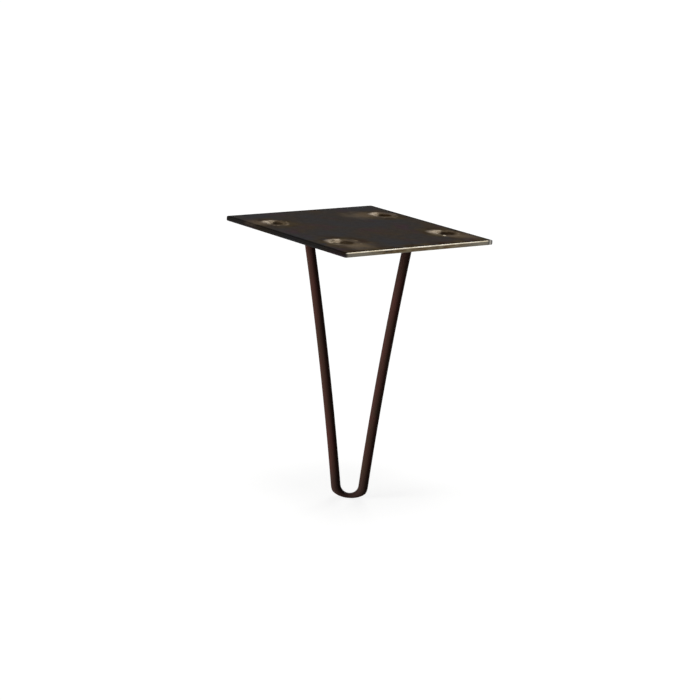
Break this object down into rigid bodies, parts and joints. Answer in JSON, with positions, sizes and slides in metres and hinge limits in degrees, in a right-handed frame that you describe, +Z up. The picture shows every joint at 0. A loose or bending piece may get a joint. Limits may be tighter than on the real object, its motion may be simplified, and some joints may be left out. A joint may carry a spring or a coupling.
{
  "type": "hairpin table leg",
  "caption": "Short hairpin table leg: round steel rod bent to a narrow U with a dressed foot, welded under a square mounting plate with screw holes, dark finish rubbed bright in places.",
  "frame": {"origin": "centre of the mounting plate's top face, which lies against the underside of the table top", "axes": "+X and +Y along the plate's sides, +X along the longer spacing of the screw holes; +Z up, out of the top face; the hairpin hangs below in the vertical plane through the diagonal from (-X, +Y) to (+X, -Y)"},
  "size_m": [0.1524, 0.1524, 0.2247],
  "materials": {
    "plate": "blackened steel, rubbed bright round the holes and along one edge",
    "rod": "dark brown lacquer, satin",
    "weld": "dark brown lacquer over a rippled weld"
  },
  "bodies": {
    "root": {"mounting_plate": "plate", "hairpin_rod": "rod", "left_weld_bead": "weld", "right_weld_bead": "weld"}
  },
  "joints": []
}
